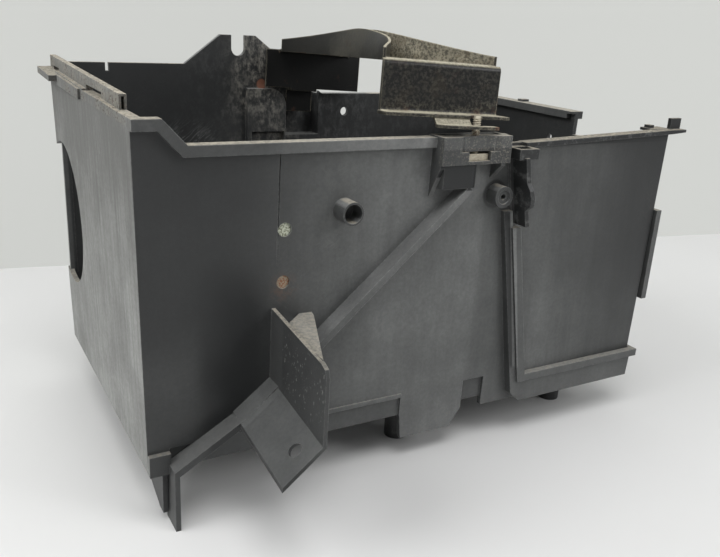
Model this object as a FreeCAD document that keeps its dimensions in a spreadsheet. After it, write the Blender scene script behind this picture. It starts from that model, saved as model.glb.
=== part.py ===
# Battery tray: moulded box with a lift-out front panel and a pressed hold-down clamp.
# Millimetres. +X runs along the long front wall, +Y goes from front to back, +Z is up.
import FreeCAD, Part
import math
import os
import Sketcher
from FreeCAD import Placement, Rotation, Vector

doc = FreeCAD.newDocument("battery_tray")
sheet = doc.addObject("Spreadsheet::Sheet", "Size")

# Driving dimensions. Heights are above the plane that the feet stand on.
SIZES = {
    # box
    "tray_length": 318.0,
    "tray_width": 182.0,
    "draft": 1.1,
    "wall": 3.0,
    "foot_height": 28.0,
    "rim_top": 185.3,
    "end_top": 196.5,
    "back_top": 204.0,
    "tower_top": 222.8,
    "right_low_top": 169.7,
    "right_step_y": -17.0,
    "rim_deep": 5.0,
    "rim_proud": 3.6,
    "band_proud": 0.8,
    "knob_y": 39.0,
    "knob_long": 5.0,
    "knob_high": 1.6,
    "high_run": 9.4,
    "ramp_run": 20.0,
    "tower_foot": -80.9,
    "tower_left": -56.5,
    "tower_right": -32.2,
    "tower_end": 18.6,
    "notch_x": -44.3,
    "notch_r": 4.8,
    "notch_bottom": 209.7,
    "slit_in": 29.5,
    "slit_wide": 2.2,
    "slit_deep": 5.0,
    # left end rail and cut-out
    "rail_wide": 5.6,
    "rail_deep": 4.2,
    "fin_wide": 3.4,
    "fin_top": 203.2,
    "fin_in": 22.0,
    "fin_skin": 1.0,
    "rail_rise": 3.8,
    "rail_over": 13.5,
    "far_window_long": 17.0,
    "far_window_in": 15.0,
    "fin_hollow": 16.0,
    "window_start": -34.5,
    "window_end": 0.0,
    "window_high": 2.6,
    "bead_start": 4.0,
    "bead_end": 72.0,
    "bead_proud": 1.4,
    "lug_in": 28.0,
    "lug_proud": 5.8,
    "cutout_in": 16.2,
    "cutout_z": 115.9,
    "cutout_r": 43.3,
    # feet and fins
    "foot_x": -2.4,
    "foot_in": 25.0,
    "foot_r": 7.0,
    "foot_end_in": 38.0,
    "foot_back_in": 31.0,
    "fin_thick": 2.5,
    "corner_fin_in": 6.7,
    "corner_fin_low": 4.5,
    "post_in": 9.6,
    "rib_stand": 10.6,
    # stiffening rib
    "rib_thick": 2.6,
    "rib_low_z": 32.5,
    "rib_mid_x": -113.0,
    "rib_mid_z": 54.1,
    "rib_high_x": 7.0,
    "rib_high_z": 160.4,
    # side bracket
    "bracket_x": -97.6,
    "bracket_reach": 60.0,
    "bracket_thick": 2.0,
    "bracket_top": 105.0,
    "bracket_low": 68.2,
    "pad_wide": 24.4,
    "pad_slope": 39.0,
    "pad_droop": 7.0,
    "pad_hole_r": 3.5,
    "pad_hole_in": 11.0,
    "pad_hole_across": 10.6,
    "brace_x": -75.5,
    "brace_stand": 14.0,
    # bosses and marks on the front wall
    "tube_x": -61.2,
    "tube_z": 151.3,
    "tube_r": 5.8,
    "tube_bore_r": 4.7,
    "tube_out": 10.0,
    "tube_deep": 9.0,
    "boss_x": 31.0,
    "boss_z": 153.1,
    "boss_r": 5.8,
    "boss_cup_r": 3.8,
    "boss_hole_r": 1.6,
    "boss_out": 8.4,
    "boss_deep": 8.0,
    "disc_x": -92.0,
    "disc_high_z": 143.8,
    "disc_low_z": 117.7,
    "disc_r": 3.3,
    "disc_deep": 0.8,
    "seam_x": -95.7,
    "seam_low": 106.0,
    "seam_wide": 0.6,
    "seam_deep": 0.5,
    # clamp socket on the front wall
    "socket_left": -12.5,
    "socket_right": 30.4,
    "socket_reach": 12.7,
    "socket_low": 172.0,
    "socket_skin": 2.9,
    "socket_roof": 1.6,
    "scoop_r": 26.0,
    "scoop_deep": 3.4,
    "well_skin": 5.0,
    "bolt_x": 10.5,
    "bolt_stand": 7.0,
    "throat_low": 159.5,
    "throat_right": 11.6,
    "strut_low": 154.8,
    "strut_right_x": 26.0,
    "strut_right_low": 162.5,
    # rear pocket and pad
    "pocket_left": -11.0,
    "pocket_right": 16.0,
    "pocket_low": 157.0,
    "pocket_out": 12.0,
    "hump_left": -39.0,
    "hump_low": 132.0,
    "hump_top": 189.0,
    "hump_round": 12.0,
    "hump_proud": 3.4,
    "recess_top": 160.0,
    "recess_high": 14.0,
    "rear_hole_x": 37.2,
    "rear_hole_z": 172.7,
    "rear_hole_r": 3.0,
    "side_hole_y": 5.0,
    "side_hole_z": 164.7,
    "side_hole_r": 2.2,
    # skirt under the front wall
    "ledge_top": 42.3,
    "ledge_deep": 2.4,
    "band_deep": 1.4,
    "tab_left": -17.9,
    "tab_right": 25.3,
    "tab_low": 13.2,
    "tab_cut": 10.5,
    "notch_right": 40.2,
    "skirt_low": 22.7,
    "corner_block": 10.4,
    # panel and its guide channel
    "panel_proud": 2.2,
    "panel_thick": 3.0,
    "panel_left": 66.5,
    "panel_slant": 0.188,
    "sill_top": 41.0,
    "sill_deep": 4.6,
    "groove": 4.0,
    "slide_gap": 0.4,
    "guide_wide": 10.4,
    "guide_proud": 3.2,
    "lip_wide": 5.0,
    "lip_proud": 4.8,
    "lip_thick": 1.6,
    "guide_high": 143.6,
    "lip_high": 134.0,
    "keeper_low": 75.6,
    "keeper_high": 134.4,
    "keeper_wide": 4.0,
    "panel_top_left": 180.2,
    "panel_top_right": 184.8,
    "panel_rim_deep": 2.4,
    "rim_run": 14.0,
    "ear_left": 35.6,
    "ear_right": 48.6,
    "ear_drop": 1.4,
    "ear_out": 12.0,
    "ear_deep": 5.6,
    "ear_skin": 2.4,
    "ear_stand": 1.2,
    "grip_in": 2.6,
    "grip_reach": 16.6,
    "grip_thick": 2.8,
    "grip_low": 136.0,
    "stop_high": 6.4,
    # hold-down clamp
    "clamp_long": 170.0,
    "clamp_half": 34.3,
    "clamp_waist": 4.5,
    "clamp_plate": 1.6,
    "clamp_bend": 3.0,
    "leg_high": 25.0,
    "side_high": 15.2,
    "side_low": 4.5,
    "side_end_in": 3.6,
    "side_in": 1.0,
    "side_bow": 1.42,
    "side_points": 14.0,
    "waist_place": 0.54,
    "waist_bow": 2.6,
    "step_run": 2.4,
    "foot_deep": 8.6,
    "foot_over": 2.6,
    "step_down": 4.6,
    "step_left": -8.0,
    "step_right": 16.0,
    "tab_out": 16.0,
    "tab_end": 26.0,
    "hook_left": -16.0,
    "hook_right": 3.0,
    "hook_deep": 16.0,
    "clamp_x": -4.0,
    "clamp_in": 4.5,
    "clamp_z": 220.8,
    "clamp_yaw": -3.9,
    "clamp_roll": 2.5,
    "clamp_pitch": -2.2,
    # bolt and captive nut
    "bolt_r": 2.2,
    "bolt_hole_r": 2.8,
    "head_flats": 6.6,
    "head_high": 2.4,
    "bolt_long": 24.0,
    "bolt_room": 1.6,
    "nut_wide": 13.0,
    "nut_deep": 7.6,
    "nut_thick": 3.4,
    "nut_play": 0.2,
}

for row, (alias, value) in enumerate(SIZES.items(), start=1):
    sheet.set("A%d" % row, alias)
    sheet.set("B%d" % row, str(value))
    sheet.setAlias("B%d" % row, alias)
doc.recompute()


def size(alias):
    """One driving dimension as a number."""
    return float(sheet.get(alias))


def new_body(name, label):
    """A body whose frame is moved so that the front foot stands on the origin."""
    body = doc.addObject("PartDesign::Body", name)
    body.Label = label
    body.AllowCompound = True
    body.setExpression("Placement.Base.x", "-Size.foot_x")
    body.setExpression("Placement.Base.y", "Size.tray_width / 2 - Size.foot_in")
    return body


def origin_plane(body, role):
    return [item for item in body.Origin.OriginFeatures if item.Role == role + "_Plane"][0]


def new_sketch(body, name, plane, level):
    """A sketch on one of the body's own planes. The XZ plane looks along -Y, so its level changes sign."""
    sketch = body.newObject("Sketcher::SketchObject", name)
    sketch.AttachmentSupport = (origin_plane(body, plane), "")
    sketch.MapMode = "FlatFace"
    sign = "-" if plane == "XZ" else ""
    sketch.setExpression("AttachmentOffset.Base.z", "%s(%s)" % (sign, level))
    return sketch


def tie(sketch, kind, geometry, point, start, text):
    """One distance from the sketch's origin, bound to the sheet."""
    number = sketch.addConstraint(Sketcher.Constraint(kind, -1, 1, geometry, point, start))
    sketch.setExpression("Constraints[%d]" % number, text)


def outline(sketch, corners):
    """A closed outline of straight edges, drawn round a circle and then tied to its corners."""
    count = len(corners)
    turns = [2 * math.pi * index / count for index in range(count)]
    spots = [Vector(3 + math.cos(turn), 3 + math.sin(turn), 0) for turn in turns]
    lines = [Part.LineSegment(spots[index], spots[(index + 1) % count]) for index in range(count)]
    sketch.addGeometry(lines, False)
    joins = [Sketcher.Constraint("Coincident", index, 2, (index + 1) % count, 1) for index in range(count)]
    sketch.addConstraint(joins)
    for index, (across, up) in enumerate(corners):
        tie(sketch, "DistanceX", index, 1, spots[index].x, across)
        tie(sketch, "DistanceY", index, 1, spots[index].y, up)


def ring(sketch, across, up, radius):
    """A circle with its centre and radius bound to the sheet."""
    number = sketch.addGeometry(Part.Circle(Vector(1, 1, 0), Vector(0, 0, 1), 1), False)
    tie(sketch, "DistanceX", number, 3, 1, across)
    tie(sketch, "DistanceY", number, 3, 1, up)
    constraint = sketch.addConstraint(Sketcher.Constraint("Radius", number, 1))
    sketch.setExpression("Constraints[%d]" % constraint, radius)


def extrude(body, kind, name, sketch, start, end):
    """A pad or pocket between two levels."""
    feature = body.newObject("PartDesign::" + kind, name)
    feature.Profile = sketch
    feature.Refine = False
    feature.setExpression("Length", "(%s) - (%s)" % (end, start))
    return feature


def settle(body):
    """Works the body out and checks that each pad adds and each pocket takes material."""
    body.Tip.Refine = True
    doc.recompute()
    before = 0.0
    for feature in body.Group:
        if feature.TypeId not in ("PartDesign::Pad", "PartDesign::Pocket"):
            continue
        change = feature.Shape.Volume - before
        if (change > 0) != (feature.TypeId == "PartDesign::Pad") or abs(change) < 0.01:
            raise ValueError("%s changes the solid by %.3f" % (feature.Name, change))
        before = feature.Shape.Volume
    return body


def pad(body, name, plane, corners, start, end):
    sketch = new_sketch(body, name + "_sketch", plane, end if plane == "XZ" else start)
    outline(sketch, corners)
    return extrude(body, "Pad", name, sketch, start, end)


def pocket(body, name, plane, corners, start, end):
    sketch = new_sketch(body, name + "_sketch", plane, start if plane == "XZ" else end)
    outline(sketch, corners)
    return extrude(body, "Pocket", name, sketch, start, end)


def round_pad(body, name, plane, across, up, radius, start, end):
    sketch = new_sketch(body, name + "_sketch", plane, end if plane == "XZ" else start)
    ring(sketch, across, up, radius)
    return extrude(body, "Pad", name, sketch, start, end)


def round_pocket(body, name, plane, across, up, radius, start, end):
    sketch = new_sketch(body, name + "_sketch", plane, start if plane == "XZ" else end)
    ring(sketch, across, up, radius)
    return extrude(body, "Pocket", name, sketch, start, end)


def box(left, low, right, high):
    """The four corners of a rectangle."""
    return [(left, low), (right, low), (right, high), (left, high)]


# Levels that several pieces share, as expressions on the sheet
HALF_LONG = "Size.tray_length / 2"
HALF_WIDE = "Size.tray_width / 2"
RISE = "tan(Size.draft * 1 deg)"
FLOOR = "Size.foot_height + Size.wall"
INSIDE_FRONT = "-(Size.tray_width / 2 - Size.wall - 0.4)"
INSIDE_BACK = "Size.tray_width / 2 - Size.wall - 0.4"
INSIDE_LEFT = "-(Size.tray_length / 2 - Size.wall - 0.4)"
INSIDE_RIGHT = "Size.tray_length / 2 - Size.wall - 0.4"
FAR_OUT = "Size.tray_length"
ROOT = "-(Size.tray_width / 2 - 0.6)"
SKY = "Size.tower_top + 5"
RAMP_TOP = "-(Size.tray_length / 2 - Size.high_run)"
RAMP_FOOT = "-(Size.tray_length / 2 - Size.ramp_run)"
CORNER_FIN = "-(Size.tray_length / 2 - Size.corner_fin_in)"
POST = "-(Size.tray_length / 2 - Size.post_in)"
BOLT_Y = "-(Size.tray_width / 2 + Size.bolt_stand)"


def out_x(height):
    """Half length of the drafted box at a height."""
    return "(%s + (%s - Size.foot_height) * %s)" % (HALF_LONG, height, RISE)


def out_y(height):
    """Half width of the drafted box at a height."""
    return "(%s + (%s - Size.foot_height) * %s)" % (HALF_WIDE, height, RISE)


def panel_edge(height, shift="0"):
    """Where the slanted left edge of the front panel shows, at a height."""
    return "(Size.panel_left - Size.panel_slant * (%s - Size.sill_top) + (%s))" % (height, shift)


def box_shell(body):
    """The drafted box, its hollow and the profile of each wall's top."""
    sketch = new_sketch(body, "shell_sketch", "XY", "Size.foot_height")
    outline(sketch, box("-" + HALF_LONG, "-" + HALF_WIDE, HALF_LONG, HALF_WIDE))
    shell = extrude(body, "Pad", "shell", sketch, "Size.foot_height", "Size.tower_top")
    shell.setExpression("TaperAngle", "Size.draft")
    sketch = new_sketch(body, "hollow_sketch", "XY", FLOOR)
    outline(sketch, box("-(%s - Size.wall)" % HALF_LONG, "-(%s - Size.wall)" % HALF_WIDE,
                        "%s - Size.wall" % HALF_LONG, "%s - Size.wall" % HALF_WIDE))
    hollow = body.newObject("PartDesign::Pocket", "hollow")
    hollow.Profile = sketch
    hollow.Reversed = True
    hollow.setExpression("Length", "Size.tower_top - Size.foot_height")
    hollow.setExpression("TaperAngle", "Size.draft")
    hollow.Refine = False

    front_top = [("-" + FAR_OUT, "Size.end_top"), (RAMP_TOP, "Size.end_top"),
                 (RAMP_FOOT, "Size.rim_top"), (FAR_OUT, "Size.rim_top"),
                 (FAR_OUT, SKY), ("-" + FAR_OUT, SKY)]
    pocket(body, "front_top", "XZ", front_top, "-Size.tray_width", INSIDE_FRONT)
    back_top = [("-" + FAR_OUT, "Size.back_top"), ("Size.tower_foot", "Size.back_top"),
                ("Size.tower_left", "Size.tower_top"), ("Size.tower_right", "Size.tower_top"),
                ("Size.tower_end", "Size.rim_top"), (FAR_OUT, "Size.rim_top"),
                (FAR_OUT, SKY), ("-" + FAR_OUT, SKY)]
    pocket(body, "back_top_cut", "XZ", back_top, INSIDE_BACK, "Size.tray_width")
    left_top = box("-Size.tray_width", "Size.end_top", "Size.tray_width", SKY)
    pocket(body, "left_top", "YZ", left_top, "-" + FAR_OUT, INSIDE_LEFT)
    right_top = [("-Size.tray_width", "Size.right_low_top"), ("Size.right_step_y", "Size.right_low_top"),
                 ("Size.right_step_y", "Size.rim_top"), ("Size.tray_width", "Size.rim_top"),
                 ("Size.tray_width", SKY), ("-Size.tray_width", SKY)]
    pocket(body, "right_top", "YZ", right_top, INSIDE_RIGHT, FAR_OUT)


def rims(body):
    """Outward flanges round the top edge."""
    low = "Size.rim_top - Size.rim_deep"
    high = "Size.end_top - Size.rim_deep"
    front = [("-" + out_x("Size.end_top"), high), (RAMP_TOP + " - Size.rim_deep * 0.4", high),
             (RAMP_FOOT + " - Size.rim_deep * 0.4", low), ("Size.socket_left + 1", low),
             ("Size.socket_left + 1", "Size.rim_top"), (RAMP_FOOT, "Size.rim_top"),
             (RAMP_TOP, "Size.end_top"), ("-" + out_x("Size.end_top"), "Size.end_top")]
    pad(body, "front_rim", "XZ", front, "-(%s + Size.rim_proud)" % out_y("Size.rim_top"), ROOT)
    back = box("Size.tower_end", low, out_x("Size.rim_top") + " + Size.rim_proud", "Size.rim_top")
    pad(body, "back_rim", "XZ", back, HALF_WIDE, out_y("Size.rim_top") + " + Size.rim_proud")
    side = box("Size.right_step_y", low, HALF_WIDE + " + 1", "Size.rim_top")
    pad(body, "right_rim", "YZ", side, HALF_LONG, out_x("Size.rim_top") + " + Size.rim_proud")
    band = [("Size.right_step_y + 4", low), (HALF_WIDE, low), (HALF_WIDE, "Size.rim_top"),
            ("Size.right_step_y", "Size.rim_top"), ("Size.right_step_y", "Size.rim_top - 1.6"),
            ("Size.right_step_y + 4", "Size.rim_top - 1.6")]
    pad(body, "right_band", "YZ", band, INSIDE_RIGHT + " - Size.band_proud", HALF_LONG)
    knob = box("Size.knob_y", "Size.rim_top - 1", "Size.knob_y + Size.knob_long", "Size.rim_top + Size.knob_high")
    pad(body, "right_knob", "YZ", knob, HALF_LONG, out_x("Size.rim_top") + " + Size.rim_proud")


def left_rail(body):
    """The ledge on the left wall, rising to the back, with its hollow upright fin, bead and far lug."""
    outer = "-" + out_x("Size.end_top")
    near = "-(Size.tray_width / 2 - 1)"
    fin_near = "-(%s - Size.fin_in)" % HALF_WIDE
    far = "(%s + Size.rail_over)" % HALF_WIDE
    low = "Size.end_top - Size.rail_deep"
    inner = outer + " + Size.rail_wide"
    ledge = [(near, low), (near, "Size.end_top"), (fin_near, "Size.end_top"),
             (far, "Size.end_top + Size.rail_rise"), (far, "Size.end_top"), (HALF_WIDE, low)]
    pad(body, "rail_ledge", "YZ", ledge, outer, inner)
    fin = [(fin_near, "Size.end_top - 1"), (fin_near, "Size.fin_top"), (far, "Size.fin_top + Size.rail_rise"),
           (far, "Size.end_top + Size.rail_rise - 1")]
    pad(body, "rail_fin", "YZ", fin, inner + " - Size.fin_wide", inner)
    hollow = box(inner + " - Size.fin_wide + Size.fin_skin", fin_near + " - 1",
                 inner + " - Size.fin_skin", fin_near + " + Size.fin_hollow")
    pocket(body, "rail_fin_hollow", "XY", hollow, "Size.end_top", "Size.fin_top - Size.fin_skin")
    window = box("Size.window_start", "Size.end_top + 0.6", "Size.window_end",
                 "Size.end_top + Size.window_high + 1")
    pocket(body, "rail_window", "YZ", window, outer + " - 8", inner + " + 1")
    far_window = box("(%s - Size.far_window_in)" % HALF_WIDE, "Size.end_top + 2.6",
                     "(%s - Size.far_window_in + Size.far_window_long)" % HALF_WIDE, "Size.end_top + 4.8")
    pocket(body, "rail_far_window", "YZ", far_window, outer + " - 8", inner + " + 1")
    bead = [("Size.bead_start", low), ("Size.bead_start", "Size.end_top + 1"),
            ("Size.bead_end", "Size.end_top + 2.4"), ("Size.bead_end", low + " + 1")]
    pad(body, "rail_bead", "YZ", bead, outer + " - Size.bead_proud", outer + " + 2")
    lug = [("(%s - Size.lug_in)" % HALF_WIDE, low + " + 3"), ("(%s - Size.lug_in)" % HALF_WIDE, "Size.end_top + 2"),
           ("(%s - 2)" % far, "Size.end_top + Size.rail_rise"), ("(%s - 2)" % far, "Size.end_top")]
    pad(body, "rail_lug", "YZ", lug, outer + " - Size.lug_proud", outer + " + 2")


def left_cutout(body):
    """The round opening in the left wall, which stops at the back wall."""
    round_pocket(body, "cutout", "YZ", HALF_WIDE + " - Size.cutout_in", "Size.cutout_z", "Size.cutout_r",
                 "-" + FAR_OUT, INSIDE_LEFT)
    strip = box("-(%s)" % HALF_LONG, "%s - Size.wall + 0.6" % HALF_WIDE, INSIDE_LEFT + " + 1", HALF_WIDE)
    pad(body, "cutout_back_strip", "XY", strip, "Size.cutout_z - Size.cutout_r",
        "Size.cutout_z + Size.cutout_r")


def back_wall(body):
    """The open notch in the tower, the slit, the rear pocket, the raised pad and the holes."""
    slot = box("Size.notch_x - Size.notch_r", "Size.notch_bottom + Size.notch_r",
               "Size.notch_x + Size.notch_r", SKY)
    pocket(body, "tower_notch", "XZ", slot, INSIDE_BACK, "Size.tray_width")
    round_pocket(body, "tower_notch_end", "XZ", "Size.notch_x", "Size.notch_bottom + Size.notch_r",
                 "Size.notch_r", INSIDE_BACK, "Size.tray_width")
    slit = box("-Size.tray_length / 2 + Size.slit_in - Size.slit_wide / 2", "Size.back_top - Size.slit_deep",
               "-Size.tray_length / 2 + Size.slit_in + Size.slit_wide / 2", SKY)
    pocket(body, "back_slit", "XZ", slit, INSIDE_BACK, "Size.tray_width")
    inner = HALF_WIDE + " - Size.wall"
    hump = [("Size.hump_left", "Size.hump_low"), ("Size.pocket_left", "Size.hump_low"),
            ("Size.pocket_left", "Size.hump_top - Size.hump_round"),
            ("Size.pocket_left - Size.hump_round", "Size.hump_top"), ("Size.hump_left", "Size.hump_top")]
    pad(body, "hump", "XZ", hump, inner + " - Size.hump_proud + 2", inner + " + 3.5")
    outer = box("Size.pocket_left - Size.hump_round - Size.wall", HALF_WIDE, "Size.pocket_right + Size.wall",
                HALF_WIDE + " + Size.pocket_out")
    pad(body, "rear_pocket_block", "XY", outer, "Size.pocket_low - Size.wall", "Size.rim_top")
    space = box("Size.pocket_left", INSIDE_BACK + " - 2", "Size.pocket_right",
                HALF_WIDE + " + Size.pocket_out - Size.wall")
    pocket(body, "rear_pocket", "XY", space, "Size.pocket_low", SKY)
    above = box("Size.pocket_left - Size.hump_round", INSIDE_BACK + " - 2", "Size.pocket_left + 1",
                HALF_WIDE + " + Size.pocket_out - Size.wall")
    pocket(body, "rear_pocket_top", "XY", above, "Size.hump_top - Size.hump_round", SKY)
    round_pad(body, "hump_corner", "XZ", "Size.pocket_left - Size.hump_round",
              "Size.hump_top - Size.hump_round", "Size.hump_round",
              inner + " - Size.hump_proud + 2", inner + " + 3.5")
    recess = box("Size.hump_left + 3", "Size.recess_top - Size.recess_high", "Size.pocket_left - 1", "Size.recess_top")
    pocket(body, "hump_recess", "XZ", recess, inner + " - Size.hump_proud", inner + " + 1.6")
    round_pocket(body, "rear_hole", "XZ", "Size.rear_hole_x", "Size.rear_hole_z", "Size.rear_hole_r",
                 INSIDE_BACK, "Size.tray_width")
    round_pocket(body, "side_hole", "YZ", "Size.side_hole_y", "Size.side_hole_z", "Size.side_hole_r",
                 INSIDE_RIGHT, FAR_OUT)


def skirt(body):
    """The lower edge of the front wall: recessed band, hanging tab, notch and corner block."""
    band = box("-(%s) + Size.corner_block" % HALF_LONG, "Size.foot_height - 1", "Size.tab_left",
               "Size.ledge_top - Size.ledge_deep")
    face = "-(%s)" % out_y("Size.ledge_top")
    pocket(body, "skirt_band", "XZ", band, "-Size.tray_width", face + " + Size.band_deep")
    bead = box("Size.bracket_x", "Size.ledge_top - Size.ledge_deep", "Size.tab_left", "Size.ledge_top")
    pad(body, "skirt_bead", "XZ", bead, face + " - 0.8", ROOT)
    tab = [("Size.tab_left", "Size.foot_height + 2"), ("Size.tab_left + 2", "Size.tab_low"),
           ("Size.tab_right - Size.tab_cut * 0.7", "Size.tab_low"),
           ("Size.tab_right", "Size.tab_low + Size.tab_cut"), ("Size.tab_right", "Size.foot_height + 2")]
    pad(body, "skirt_tab", "XZ", tab, "-(%s)" % HALF_WIDE, "-(%s - Size.wall)" % HALF_WIDE)
    notch = box("Size.tab_right", "Size.foot_height - 1", "Size.notch_right", "Size.ledge_top - 0.7")
    pocket(body, "skirt_notch", "XZ", notch, "-Size.tray_width", face + " + Size.band_deep + 0.4")
    right = box("Size.notch_right", "Size.skirt_low", HALF_LONG, "Size.foot_height + 2")
    pad(body, "skirt_right", "XZ", right, "-(%s)" % HALF_WIDE, "-(%s - Size.wall)" % HALF_WIDE)
    block = box("-(%s)" % HALF_LONG, "Size.foot_height - 0.5", "-(%s) + Size.corner_block" % HALF_LONG,
                "Size.foot_height + Size.corner_block")
    pad(body, "corner_block", "XZ", block, "-(%s) - 3" % HALF_WIDE, ROOT)


def feet_and_fins(body):
    """Round feet under the floor and the two upright fins at the near left corner."""
    sketch = new_sketch(body, "feet_sketch", "XY", "0")
    front_y = "-(%s - Size.foot_in)" % HALF_WIDE
    back_y = "%s - Size.foot_back_in" % HALF_WIDE
    left_x = "-(%s - Size.foot_end_in)" % HALF_LONG
    right_x = "%s - Size.foot_end_in" % HALF_LONG
    for across, along in (("Size.foot_x", front_y), (right_x, front_y), ("Size.foot_x", back_y),
                          (right_x, back_y), (left_x, back_y)):
        ring(sketch, across, along, "Size.foot_r")
    extrude(body, "Pad", "feet", sketch, "0", "Size.foot_height + 1")
    front = "-(%s)" % HALF_WIDE
    fin = [(front, "Size.foot_height + 1"), (front, "Size.corner_fin_low"),
           (front + " + 6", "Size.corner_fin_low"), (front + " + 66", "Size.foot_height + 1")]
    pad(body, "corner_fin", "YZ", fin, CORNER_FIN, CORNER_FIN + " + Size.fin_thick")
    post = box("-(%s + Size.rib_stand)" % out_y("Size.rib_mid_z"), "0", front + " + 4", "Size.rib_low_z")
    pad(body, "corner_post", "YZ", post, POST, POST + " + Size.fin_thick")


def diagonal_rib(body):
    """The long stiffening rib from the corner post up to the clamp socket."""
    under = "Size.rib_thick"
    rib = [(POST, "Size.rib_low_z"), (POST + " + Size.fin_thick", "Size.rib_low_z - %s" % under),
           ("Size.rib_mid_x + Size.rib_thick", "Size.rib_mid_z - %s" % under),
           ("Size.rib_high_x + Size.rib_thick", "Size.rib_high_z - %s" % under),
           ("Size.rib_high_x", "Size.rib_high_z"),
           ("Size.rib_mid_x", "Size.rib_mid_z")]
    pad(body, "diagonal_rib", "XZ", rib, "-(%s + Size.rib_stand)" % out_y("Size.rib_mid_z"), ROOT)


def side_bracket(body):
    """The bracket on the front wall: upright plate, sloping pad with its hole, and brace."""
    slope = "(Size.pad_slope * 1 deg)"
    left = "Size.bracket_x"
    right = "Size.bracket_x + Size.bracket_thick"
    reach = "-(%s + Size.bracket_reach)" % HALF_WIDE
    fall = "Size.bracket_reach * tan(Size.pad_droop * 1 deg)"
    plate = [(ROOT, "Size.bracket_low - 2"), (ROOT, "Size.bracket_top"),
             (reach + " + 5", "Size.bracket_top - %s * 0.8" % fall),
             (reach + " + 1.4", "Size.bracket_top - %s * 0.8 - 1.6" % fall),
             (reach, "Size.bracket_top - %s * 0.8 - 5" % fall), (reach, "Size.bracket_low - %s - 1" % fall)]
    pad(body, "bracket_plate", "YZ", plate, left, right)
    low_x = "Size.bracket_x - Size.pad_wide * cos(%s)" % slope
    low_z = "Size.bracket_low - Size.pad_wide * sin(%s)" % slope
    drop = "Size.bracket_thick / cos(%s)" % slope
    corner_z = "Size.bracket_low + Size.bracket_thick * tan(%s)" % slope
    sketch = new_sketch(body, "bracket_pad_sketch", "XZ", ROOT)
    outline(sketch, [(low_x, low_z), (low_x, low_z + " - " + drop), (right, corner_z + " - " + drop),
                     (right, corner_z)])
    feature = body.newObject("PartDesign::Pad", "bracket_pad")
    feature.Profile = sketch
    feature.UseCustomVector = True
    feature.Direction = Vector(0, -math.cos(math.radians(size("pad_droop"))),
                               -math.sin(math.radians(size("pad_droop"))))
    feature.AlongSketchNormal = True
    feature.Refine = False
    feature.setExpression("Length", "Size.bracket_reach + 0.6")

    place, turn = pad_hole_frame()
    sketch = body.newObject("Sketcher::SketchObject", "bracket_hole_sketch")
    sketch.AttachmentSupport = (origin_plane(body, "XY"), "")
    sketch.MapMode = "FlatFace"
    sketch.AttachmentOffset = Placement(place, turn)
    ring(sketch, "0", "0", "Size.pad_hole_r")
    hole = body.newObject("PartDesign::Pocket", "bracket_hole")
    hole.Profile = sketch
    hole.Midplane = True
    hole.Refine = False
    hole.setExpression("Length", "Size.bracket_thick * 4")

    brace = [(right + " - 0.5", "-(%s + Size.brace_stand)" % HALF_WIDE), ("Size.brace_x - 5.5", ROOT),
             ("Size.brace_x", ROOT), ("Size.brace_x - 1.5", "-(%s + 6)" % HALF_WIDE),
             (right + " - 0.5", reach + " + 6")]
    pad(body, "bracket_brace", "XY", brace, "Size.bracket_top - 7.4", "Size.bracket_top - 5")


def pad_hole_frame():
    """Centre and direction of the hole through the sloping pad, before the body's own move."""
    slope = math.radians(size("pad_slope"))
    droop = math.radians(size("pad_droop"))
    along = Vector(-math.cos(slope), 0, -math.sin(slope))
    outward = Vector(0, -math.cos(droop), -math.sin(droop))
    normal = along.cross(outward).normalize()
    corner = Vector(size("bracket_x"), 0.6 - size("tray_width") / 2, size("bracket_low"))
    reach = size("bracket_reach") + 0.6 - size("pad_hole_in")
    centre = corner + along * size("pad_hole_across") + outward * (reach / math.cos(droop))
    return centre, Rotation(Vector(0, 0, 1), normal)


def front_bosses(body):
    """The open tube and the small screw boss."""
    face = "-(%s)" % out_y("Size.tube_z")
    round_pad(body, "tube", "XZ", "Size.tube_x", "Size.tube_z", "Size.tube_r",
              face + " - Size.tube_out", ROOT)
    round_pocket(body, "tube_bore", "XZ", "Size.tube_x", "Size.tube_z", "Size.tube_bore_r",
                 face + " - Size.tube_out", face + " - Size.tube_out + Size.tube_deep")
    round_pad(body, "boss", "XZ", "Size.boss_x", "Size.boss_z", "Size.boss_r",
              face + " - Size.boss_out", ROOT)
    round_pocket(body, "boss_cup", "XZ", "Size.boss_x", "Size.boss_z", "Size.boss_cup_r",
                 face + " - Size.boss_out", face + " - Size.boss_out + 0.8")
    round_pocket(body, "boss_hole", "XZ", "Size.boss_x", "Size.boss_z", "Size.boss_hole_r",
                 face + " - Size.boss_out + 0.8", face + " - Size.boss_out + 0.8 + Size.boss_deep")


def front_marks(body):
    """The two recessed discs and the fine seam in the front wall."""
    for name, height in (("disc_high", "Size.disc_high_z"), ("disc_low", "Size.disc_low_z")):
        round_pocket(body, name, "XZ", "Size.disc_x", height, "Size.disc_r",
                     "-Size.tray_width", "-(%s) + Size.disc_deep" % out_y(height))
    seam = box("Size.seam_x", "Size.seam_low", "Size.seam_x + Size.seam_wide",
               "Size.rim_top - Size.rim_deep")
    pocket(body, "seam", "XZ", seam, "-Size.tray_width", "-(%s) + Size.seam_deep" % out_y("Size.tube_z"))


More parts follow.
